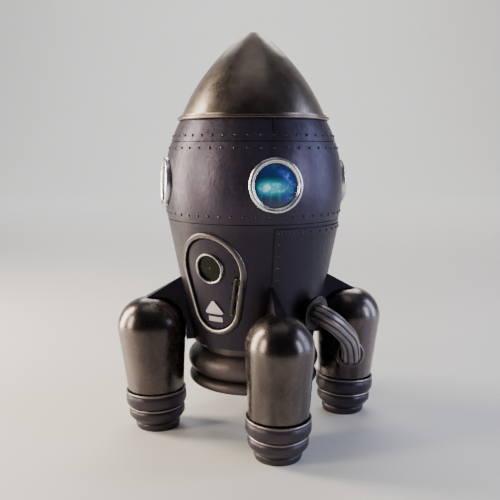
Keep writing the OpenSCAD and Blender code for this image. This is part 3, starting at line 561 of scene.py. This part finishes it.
def nacelle_levels():
    """(radius, inner centre, outer centre, height) from the round rim to the crown of the two balls."""
    low_z, top_r = NACELLE_RIM_S - 1.0, NACELLE_R - NACELLE_SKIN
    side_steps, crown_steps = 14, 22
    levels = []
    for i in range(side_steps + 1):
        t = i / side_steps
        levels.append((NACELLE_RIM_R + (NACELLE_R - NACELLE_RIM_R) * t - NACELLE_SKIN,
                       NACELLE_RIM_RHO + (SHOULDER_IN - NACELLE_RIM_RHO) * t,
                       NACELLE_RIM_RHO + (SHOULDER_OUT - NACELLE_RIM_RHO) * t,
                       low_z + (SHOULDER_Z - low_z) * t))
    for i in range(1, crown_steps + 1):
        a = math.radians(90 * i / (crown_steps + 0.4))
        levels.append((top_r * math.cos(a), SHOULDER_IN, SHOULDER_OUT, SHOULDER_Z + top_r * math.sin(a)))
    return levels


def build_nacelle(number, az):
    """A round-topped casing: two balls side by side, blended into the round rim.

    Soft dents press it in a little, so that it reflects unevenly.
    """
    place, half_steps = at_azimuth(az), 32
    dent_scale = DENT_SCALE + 0.001 * number
    rings = []
    for r, c_in, c_out, z in nacelle_levels():
        ring = []
        for start, centre in ((-90, c_out), (90, c_in)):
            for k in range(half_steps + 1):
                a = math.radians(start + 180 * k / half_steps)
                way = Vector((math.cos(a), math.sin(a), 0))
                p = Vector((centre, 0, z)) + way * r
                depth = DENT_DEPTH * (0.5 + 0.5 * noise.noise(p * dent_scale))
                ring.append(place @ (p - way * depth))
        rings.append(ring)
    casing = loft(f"nacelle_{number}_casing", rings, MATERIALS["polished_metal"])
    finished(casing, "hull", "polished_metal", f"nacelle_{number}")


def build_upper_collar(number, az):
    """A broad band with a worn, slightly flared lip that holds the nacelle's rim."""
    low, top, r = LOWER_COLLAR_TOP_S, UPPER_COLLAR_TOP_S, UPPER_COLLAR_R
    bore, rim, tube_top = 4.0, NACELLE_RIM_R + 0.1, top + 2.4
    web_low, web_top = low + 3, low + 5
    outline = fillet([
        (bore, web_low, 0, 0), (TUBE_OUT_R, web_low, 0.3, 0), (TUBE_OUT_R, low, 0.3, 0),
        (r - 2.4, low, 0.8, 0.2), (r - 0.7, low + 0.9, 1.0, 0.35), (r - 0.1, low + 2.6, 1.6, 0.1),
        (r - 0.15, top - 3.6, 1.6, 0.05), (r - 0.8, top - 1.9, 0.7, 0.1), (r - 0.75, top - 1.5, 0.3, 0.5),
        (r - 0.1, top - 0.9, 0.35, 1), (r - 0.4, top - 0.1, 0.4, 1),
        (rim + 0.05, top - 0.1, 0.3, 0.8), (rim, top - 2, 0, 0),
        (TUBE_OUT_R, top - 2, 0, 0), (TUBE_OUT_R, tube_top, 0.2, 0), (TUBE_IN_R, tube_top, 0.2, 0),
        (TUBE_IN_R, web_top, 0.4, 0), (bore, web_top, 0, 0),
    ])
    turned_piece(f"upper_collar_{number}_band", f"upper_collar_{number}", outline, on_leg(az),
                 "collar_paint", "hull_paint")


def build_lower_collar(number, az):
    """The narrower band under it, drawn in towards the foot."""
    low, top, r = FOOT_TOP_S, LOWER_COLLAR_TOP_S, LOWER_COLLAR_R
    core_r, shell_r, peg_r, seat_r, peg_top, seat = 5, 11.6, 8, 4.2, top + 2.9, top + 1.9
    outline = fillet([
        (SCREW_HOLE_R, low, 0, 0), (core_r, low, 0, 0), (core_r, top - 2, 0, 0), (shell_r, top - 2, 0, 0),
        (shell_r, low, 0.2, 0), (r - 3.7, low, 0.5, 0.1), (r - 1.3, low + 2.5, 1.2, 0),
        (r - 0.1, low + 4.2, 1.2, 0.1), (r - 0.15, top - 3.0, 1.2, 0.05),
        (r - 0.75, top - 1.9, 0.5, 0.1), (r - 0.7, top - 1.6, 0.3, 0.5),
        (r - 0.15, top - 1.0, 0.35, 1), (r - 0.5, top - 0.25, 0.4, 1), (r - 1.4, top - 0.15, 0.3, 0.6),
        (TUBE_IN_R, top - 0.6, 0.2, 0), (TUBE_IN_R, top, 0, 0), (peg_r, top, 0, 0), (peg_r, peg_top, 0, 0),
        (seat_r, peg_top, 0, 0), (seat_r, seat, 0, 0), (SCREW_HOLE_R, seat, 0, 0),
    ])
    turned_piece(f"lower_collar_{number}_band", f"lower_collar_{number}", outline, on_leg(az),
                 "collar_paint", "hull_paint")


def build_foot(number, az):
    """A short tread, cut level with the ground although its leg leans."""
    r, head_r, head_seat, below, top = 13.75, 3.4, 2.0, -2.5, FOOT_TOP_S - 0.02
    outline = fillet([
        (SCREW_HOLE_R, head_seat, 0, 0), (head_r, head_seat, 0, 0), (head_r, below, 0, 0),
        (r - 1.15, below, 0, 0), (r - 0.75, 0.5, 0.5, 0.6), (r - 0.15, 1.7, 0.8, 0.3), (r, 3.4, 0.6, 0.1),
        (r - 0.35, top, 0.4, 0.2), (SCREW_HOLE_R, top, 0, 0),
    ])
    foot = revolve(f"foot_{number}_tread", outline, on_leg(az), MATERIALS["collar_paint"], sides=72)
    bm = bmesh.new()
    bm.from_mesh(foot.data)
    ground = (0, 0, 0.01 * MM)
    cut = bmesh.ops.bisect_plane(bm, geom=bm.verts[:] + bm.edges[:] + bm.faces[:], plane_co=ground,
                                 plane_no=(0, 0, -1), clear_outer=True)
    edges = [e for e in cut["geom_cut"] if isinstance(e, bmesh.types.BMEdge)]
    bmesh.ops.triangle_fill(bm, edges=edges, use_beauty=True)
    bmesh.ops.recalc_face_normals(bm, faces=bm.faces)
    bm.to_mesh(foot.data)
    bm.free()
    finished(foot, "hull", "hull_paint", f"foot_{number}")


# ---------- windows ----------

def build_porthole_bezel(number, az):
    """A broad soft ring with a thin bright inner step."""
    g, r = PORTHOLE_GLASS_R, PORTHOLE_BEZEL_R
    outline = fillet([
        (g + 0.6, -BEZEL_DEPTH, 0, 0), (g + 0.6, -0.65, 0, 0), (g + 0.02, -0.65, 0.1, 0.4),
        (g + 0.05, 0.45, 0.25, 1), (g + 0.5, 0.75, 0.25, 1), (g + 0.75, 0.62, 0.15, 0),
        (g + 1.15, 1.12, 0.5, 0.7), (g + 1.9, 1.28, 0.6, 0.5), (r - 0.5, 0.9, 0.6, 0.2),
        (r - 0.02, 0.2, 0.4, 0), (r - 0.02, -BEZEL_DEPTH, 0, 0),
    ])
    turned_piece(f"porthole_bezel_{number}_ring", f"porthole_bezel_{number}", outline,
                 on_hull(az, PORTHOLE_Z) @ OUTWARD, "bright_metal", "bright_metal", sides=128)


def build_porthole_glass(number, az):
    """A domed glass whose points know where they lie across and up it, and how near the glowing band that its
    finish paints.
    """
    steps, sides = 14, 72
    # Where the painted glowing band lies across the glass, and how broad it is.
    bar_up, bar_half = -0.1, 0.30
    g = PORTHOLE_GLASS_R - 0.1
    dome_r = (g * g + GLASS_DOME * GLASS_DOME) / (2 * GLASS_DOME)
    dome_z = GLASS_EDGE_Z + GLASS_DOME - dome_r
    radii = [g * i / steps for i in range(steps + 1)]
    levels = [(r, dome_z + math.sqrt(dome_r ** 2 - r * r)) for r in radii]
    levels += [(g + GLASS_LAP, GLASS_EDGE_Z - 0.04), (g + GLASS_LAP, GLASS_EDGE_Z - GLASS_T)]
    place = on_hull(az, PORTHOLE_Z) @ OUTWARD
    rings, across, up, lit = [], [], [], []
    for r, z in levels:
        ring = circle(r, z, sides)
        rings.append([place @ p for p in ring])
        for p in ring:
            seen = r <= g
            x, y = p.y / g, -p.x / g
            across.append(x if seen else 0.0)
            up.append(y if seen else 0.0)
            lit.append(math.exp(-((y - bar_up) / bar_half) ** 2) * (1 - (r / g) ** 6) if seen else 0.0)
    glass = loft(f"porthole_glass_{number}_dome", rings, MATERIALS["blue_glass"],
                 across=across, up=up, lit=lit)
    finished(glass, "hull", "blue_glass", f"porthole_glass_{number}")


def build_window_bezel():
    """The thin ring round the hatch window. Its back is pressed into the panel."""
    g, r = WINDOW_GLASS_R, WINDOW_BEZEL_R
    tube_r, back, flange_back = g + 1.2, -2.8, -0.95
    place = on_hull(0, WINDOW_Z) @ OUTWARD @ Matrix.Translation((0, 0, -PANEL_INSET))
    outline = fillet([
        (g + 0.6, back, 0, 0), (g + 0.6, -0.6, 0, 0), (g + 0.02, -0.6, 0.1, 0.3),
        (g + 0.05, 0.75, 0.3, 0.8), (g + 0.55, 1.3, 0.45, 0.7), (g + 1.15, 1.2, 0.5, 0.3),
        (r - 0.05, 0.3, 0.4, 0), (r - 0.05, flange_back, 0, 0), (tube_r, flange_back, 0, 0),
        (tube_r, back, 0, 0),
    ])
    turned_piece("hatch_window_bezel_ring", "hatch_window_bezel", outline, place,
                 "trim_metal", "bright_metal", body="hatch", sides=112)


# ---------- hatch frame ----------

def hatch_line():
    """The hatch's outline as evenly refined (x, z) points."""
    arcs = ((HATCH_TOP_Z, HATCH_TOP_R, -HATCH_LEAN, math.pi + HATCH_LEAN, 48),
            (HATCH_LOW_Z, HATCH_LOW_R, math.pi + HATCH_LEAN, 2 * math.pi - HATCH_LEAN, 32))
    corners = []
    for centre, radius, start, end, steps in arcs:
        for i in range(steps + 1):
            a = start + (end - start) * i / steps
            corners.append((radius * math.cos(a), centre + radius * math.sin(a)))
    longest = 2.0
    line = []
    for i, p in enumerate(corners):
        q = corners[(i + 1) % len(corners)]
        n = max(1, math.ceil(math.dist(p, q) / longest))
        line += [(p[0] + (q[0] - p[0]) * k / n, p[1] + (q[1] - p[1]) * k / n) for k in range(n)]
    return line


def hatch_band(name, section, material, run=None):
    """Carries a closed section of (inset, out, wear) round the hatch, or along a run of its points."""
    line = hatch_line()
    rings, wear = [], []
    for i in run or range(len(line)):
        along = (Vector(line[(i + 1) % len(line)]) - Vector(line[i - 1])).normalized()
        inward = Vector((-along.y, along.x))
        x, z = line[i]
        rings.append([skin_point(x + inward.x * u, z + inward.y * u, out) for u, out, _ in section])
        wear += [w for _, _, w in section]
    return weighted_normals(loft(name, rings, material, wear, closed_path=run is None))


def unbroken_runs(kept):
    """The kept places of a closed line, as lists of neighbouring indices."""
    runs = []
    for i in [i for i, keep in enumerate(kept) if keep]:
        if runs and runs[-1][-1] == i - 1:
            runs[-1].append(i)
        else:
            runs.append([i])
    if len(runs) > 1 and runs[0][0] == 0 and runs[-1][-1] == len(kept) - 1:
        runs[0] = runs.pop() + runs[0]
    return runs


def build_hatch_frame():
    """A rounded bead with a worn crest and a lining through the shell, and the ledge behind the panel."""
    w, deep = FRAME_W, -FRAME_DEPTH
    section = fillet([
        (0.0, 0.02, 0, 0), (0.25, 0.75, 0.5, 0.05), (1.1, 1.42, 0.8, 0.2), (2.0, 1.48, 0.6, 0.35),
        (2.9, 1.2, 0.4, 0.9), (w - 0.05, 0.4, 0.6, 0.1), (w, deep, 0.1, 0), (w - FRAME_WALL, deep, 0.1, 0),
        (w - FRAME_WALL, 0.02, 0, 0),
    ], steps=3)
    bead = hatch_band("hatch_frame_bead", section, MATERIALS["frame_paint"])
    finished(bead, "hull", "hull_paint", "hatch_frame")

    root, lip = w - 0.1, w + LEDGE_W
    ledge = [(root, LEDGE_OUT, 0), (lip, LEDGE_OUT, 0.3), (lip, deep, 0.2), (root, deep, 0)]
    kept = []
    for x, z in hatch_line():
        in_notch = x < NOTCH_X and NOTCH_LOW_Z < z < NOTCH_TOP_Z
        kept.append(x < LEDGE_END_X and not in_notch)
    for k, run in enumerate(unbroken_runs(kept)):
        piece = hatch_band(f"hatch_frame_ledge_{k}", ledge, MATERIALS["hull_paint"], run)
        finished(piece, "hull", "hull_paint")


# ---------- feed pipe ----------

def socket_point(out):
    """A point on the cup's axis, so far out of the hull's skin."""
    return on_hull(PIPE_AZ, PIPE_Z) @ Vector((out, 0, 0))


def boss_point(out):
    """A point on the boss's axis, so far out of the nacelle's wall."""
    return on_boss() @ Vector((0, 0, out))


def bend(before, corner, after, r, steps):
    """Points round one bend of the pipe."""
    u, v = (before - corner).normalized(), (after - corner).normalized()
    half = math.acos(u.dot(v)) / 2
    centre = corner + (u + v).normalized() * (r / math.sin(half))
    p = corner + u * (r / math.tan(half)) - centre
    q = corner + v * (r / math.tan(half)) - centre
    w = p.cross(q).cross(p).normalized()
    angles = [(math.pi - 2 * half) * i / steps for i in range(steps + 1)]
    return [centre + p * math.cos(a) + w * (r * math.sin(a)) for a in angles]


def pipe_line():
    """The pipe's middle line, in equal short steps: out of the cup, down, and into the boss."""
    start, end = socket_point(FLANGE_OUT - 3), boss_point(0.6)
    elbow, inlet = socket_point(ELBOW_OUT), boss_point(INLET_OUT)
    points = ([start] + bend(start, elbow, PIPE_KNEE, ELBOW_R, 18) + bend(elbow, PIPE_KNEE, inlet, KNEE_R, 8)
              + bend(PIPE_KNEE, inlet, end, INLET_R, 12) + [end])
    line = [start]
    for p, q in zip(points, points[1:]):
        n = max(1, round((q - p).length / PIPE_STEP))
        line += [p.lerp(q, k / n) for k in range(1, n + 1)]
    return line


def rib_height(k):
    """0 in a groove and 1 on the crest of a rib, for one of the points round the pipe."""
    off_crest = abs(((k / RIB_POINTS) % 1) - 0.5) * 2
    return math.sqrt(1 - off_crest ** 2.5)


def build_feed_pipe():
    """A bent metal pipe with rounded ribs along it and narrow grooves between them, painted dark as shade."""
    line = pipe_line()
    sides = PIPE_RIBS * RIB_POINTS
    ways = [(line[min(i + 1, len(line) - 1)] - line[max(i - 1, 0)]).normalized() for i in range(len(line))]
    side = ways[0].cross(Vector((0, 0, 1)))
    rings = []
    for p, way in zip(line, ways):
        side = (side - way * side.dot(way)).normalized()
        other = way.cross(side)
        ring = []
        for k in range(sides):
            a = math.radians(360) * k / sides
            r = PIPE_R * (0.86 + 0.135 * rib_height(k))
            ring.append(p + side * (r * math.cos(a)) + other * (r * math.sin(a)))
        rings.append(ring)
    # The groove value tells the pipe's finish where to paint shade.
    grooves = [1.0 - rib_height(k) for k in range(sides)] * len(rings)
    pipe = loft("feed_pipe_ribbed", rings, MATERIALS["pipe_metal"], groove=grooves)
    finished(pipe, "hull", "pipe_metal", "feed_pipe")


def build_pipe_cup():
    """The flanged cup on the hull that the pipe comes out of."""
    bore, front, back = PIPE_R + PIPE_PLAY, FLANGE_OUT - 0.05, FLANGE_OUT - FLANGE_T
    outline = fillet([
        (bore, CUP_FLOOR, 0, 0), (bore, front, 0.3, 0.1), (FLANGE_R - 0.7, front, 0.2, 0.1),
        (FLANGE_R - 0.05, front - 0.05, 0.3, 0.6), (FLANGE_R - 0.05, back + 0.05, 0.5, 0.2),
        (CUP_R + 0.6, back, 0.5, 0), (CUP_R, back - 0.8, 0.3, 0), (CUP_R, CUP_BACK, 0, 0),
        (0, CUP_BACK, 0, 0), (0, CUP_FLOOR, 0, 0),
    ])
    turned_piece("pipe_socket_cup", "pipe_socket", outline, on_hull(PIPE_AZ, PIPE_Z) @ OUTWARD,
                 "dark_metal", "dark_metal", sides=80)


def build_pipe_boss():
    """The round boss on the nacelle that the pipe goes into."""
    bore = PIPE_R + PIPE_PLAY
    outline = fillet([
        (0, BOSS_FLOOR, 0, 0), (bore, BOSS_FLOOR, 0, 0), (bore, BOSS_OUT - 0.4, 0.2, 0.3),
        (PIPE_R + 0.9, BOSS_OUT, 0.4, 0.45), (BOSS_R - 0.9, BOSS_OUT, 0.8, 0.2),
        (BOSS_R, BOSS_OUT - 1.0, 0.6, 0.6), (BOSS_R, BOSS_BACK, 0, 0), (0, BOSS_BACK, 0, 0),
    ])
    turned_piece("pipe_boss_ring", "pipe_boss", outline, on_boss(),
                 "polished_metal", "polished_metal", sides=80)


# ---------- nose ring ----------

def build_nose_ring():
    """A rolled bead whose upper outside is worn bright."""
    steps = 18
    outline = [(RING_BORE_R, RING_LOW_Z, 0)]
    for i in range(steps + 1):
        a = math.radians(-150 + 300 * i / steps)
        wear = 0.5 * max(0, math.cos(a - 0.5)) ** 2
        outline.append((BEAD_RHO + BEAD_R * math.cos(a), BEAD_Z + BEAD_R * math.sin(a), wear))
    outline.append((RING_BORE_R, RING_TOP_Z, 0))
    turned_piece("nose_ring_bead", "nose_ring", outline, Matrix.Identity(4),
                 "nose_metal", "bright_metal", sides=192)


# ---------- camera, light, floor ----------

def make_camera():
    """The view of the photo, fitted to the rocket's outline."""
    data = bpy.data.cameras.new("camera")
    data.lens = CAMERA_LENS
    data.sensor_width = 36
    data.clip_start = 0.01
    camera = bpy.data.objects.new("camera", data)
    bpy.context.scene.collection.objects.link(camera)
    camera.location = (toward(CAMERA_AZ) * CAMERA_DISTANCE + Vector((0, 0, CAMERA_HEIGHT))) * MM
    camera.rotation_euler = (math.radians(90 - CAMERA_PITCH), 0, math.radians(CAMERA_AZ + CAMERA_YAW))
    bpy.context.scene.camera = camera


def area_light(name, azimuth, elevation, distance, size, power, color, aim=(0, 0, 0.12)):
    """A soft box that looks at the hull's middle, or at an azimuth, a distance and a height."""
    data = bpy.data.lights.new(name, "AREA")
    data.shape = "RECTANGLE"
    data.size, data.size_y = size
    data.energy = power
    data.color = color
    light = bpy.data.objects.new(name, data)
    bpy.context.scene.collection.objects.link(light)
    light.location = distance * toward(azimuth, elevation)
    aim_azimuth, aim_distance, aim_height = aim
    target = aim_distance * toward(aim_azimuth) + Vector((0, 0, aim_height))
    light.rotation_euler = (target - light.location).to_track_quat("-Z", "Y").to_euler()


def make_floor():
    """A pale sweep that curves up behind the rocket, square to the camera."""
    half_width, near, far, curve_r, height, steps = 6.0, -4.0, 2.2, 1.6, 5.0, 24
    profile = [(near, 0.0), (far, 0.0)]
    for i in range(1, steps + 1):
        a = math.radians(90 * i / steps)
        profile.append((far + curve_r * math.sin(a), curve_r - curve_r * math.cos(a)))
    profile.append((far + curve_r, height))
    turn = turned(CAMERA_AZ, "Z")
    verts = [turn @ Vector((x, y, z)) / MM for y, z in profile for x in (-half_width, half_width)]
    faces = [(2 * i, 2 * i + 1, 2 * i + 3, 2 * i + 2) for i in range(len(profile) - 1)]
    make_object("backdrop", verts, faces, studio_floor("floor_finish"))


def make_lights():
    """Plain studio light, a little warm on the left and cool on the right."""
    world = bpy.data.worlds.new("world")
    bpy.context.scene.world = world
    world.use_nodes = True
    background = world.node_tree.nodes["Background"]
    background.inputs["Color"].default_value = (0.80, 0.82, 0.88, 1)
    background.inputs["Strength"].default_value = 0.13
    behind, white = CAMERA_AZ + 180, (1.0, 0.97, 0.96)
    area_light("key_left", CAMERA_AZ - 102, 24, 0.7, (0.2, 0.62), 13.0, (1.0, 0.85, 0.64))
    area_light("front_left", CAMERA_AZ - 64, 20, 0.9, (0.16, 0.46), 5.8, (1.0, 0.86, 0.64))
    area_light("fill_right", CAMERA_AZ + 94, 24, 0.8, (0.2, 0.62), 3.2, (0.58, 0.68, 1.0))
    area_light("front_right", CAMERA_AZ + 64, 19, 0.9, (0.13, 0.44), 3.0, (0.74, 0.79, 1.0))
    area_light("top", behind, 48, 1.6, (1.2, 0.6), 14.0, white)
    area_light("overhead", CAMERA_AZ, 84, 1.5, (0.9, 0.7), 1.3, white)
    area_light("backdrop_light", behind, 50, 2.4, (2.5, 1.0), 90.0, (1.0, 0.99, 0.98), aim=(behind, 3.5, 0.6))


# ---------- build ----------

make_materials()
paint_cad_nodes()
for leg, azimuth in enumerate(AZIMUTHS, start=1):
    build_nacelle(leg, azimuth)
    build_upper_collar(leg, azimuth)
    build_lower_collar(leg, azimuth)
    build_foot(leg, azimuth)
    build_porthole_bezel(leg, azimuth)
    build_porthole_glass(leg, azimuth)
build_window_bezel()
build_hatch_frame()
build_feed_pipe()
build_pipe_cup()
build_pipe_boss()
build_nose_ring()
make_floor()
make_lights()
make_camera()
